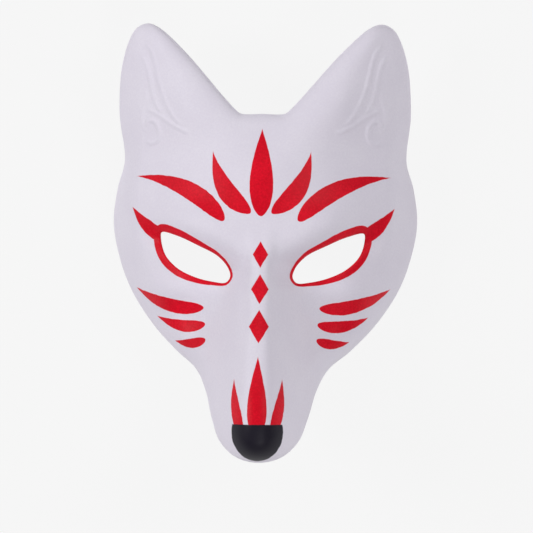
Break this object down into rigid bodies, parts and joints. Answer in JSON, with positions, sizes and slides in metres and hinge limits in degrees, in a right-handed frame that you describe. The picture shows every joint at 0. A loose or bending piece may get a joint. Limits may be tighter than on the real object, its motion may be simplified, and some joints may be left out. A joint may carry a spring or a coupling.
{
  "type": "wolf mask",
  "caption": "Moulded foam wolf face mask with upright ears, slanted eye holes and a long muzzle, hollow and open at the back.",
  "frame": {"origin": "on the floor under the middle of the mask's bounding box, with the mask lying face up on its back rim", "axes": "+X to the right of the face as seen from the front, +Y from the nose towards the ears, +Z out of the face"},
  "size_m": [0.173, 0.2431, 0.1001],
  "materials": {
    "painted_foam": "satin off-white paint on moulded foam, with red markings and a black nose"
  },
  "bodies": {
    "root": {"mask_shell": "painted_foam"}
  },
  "joints": []
}
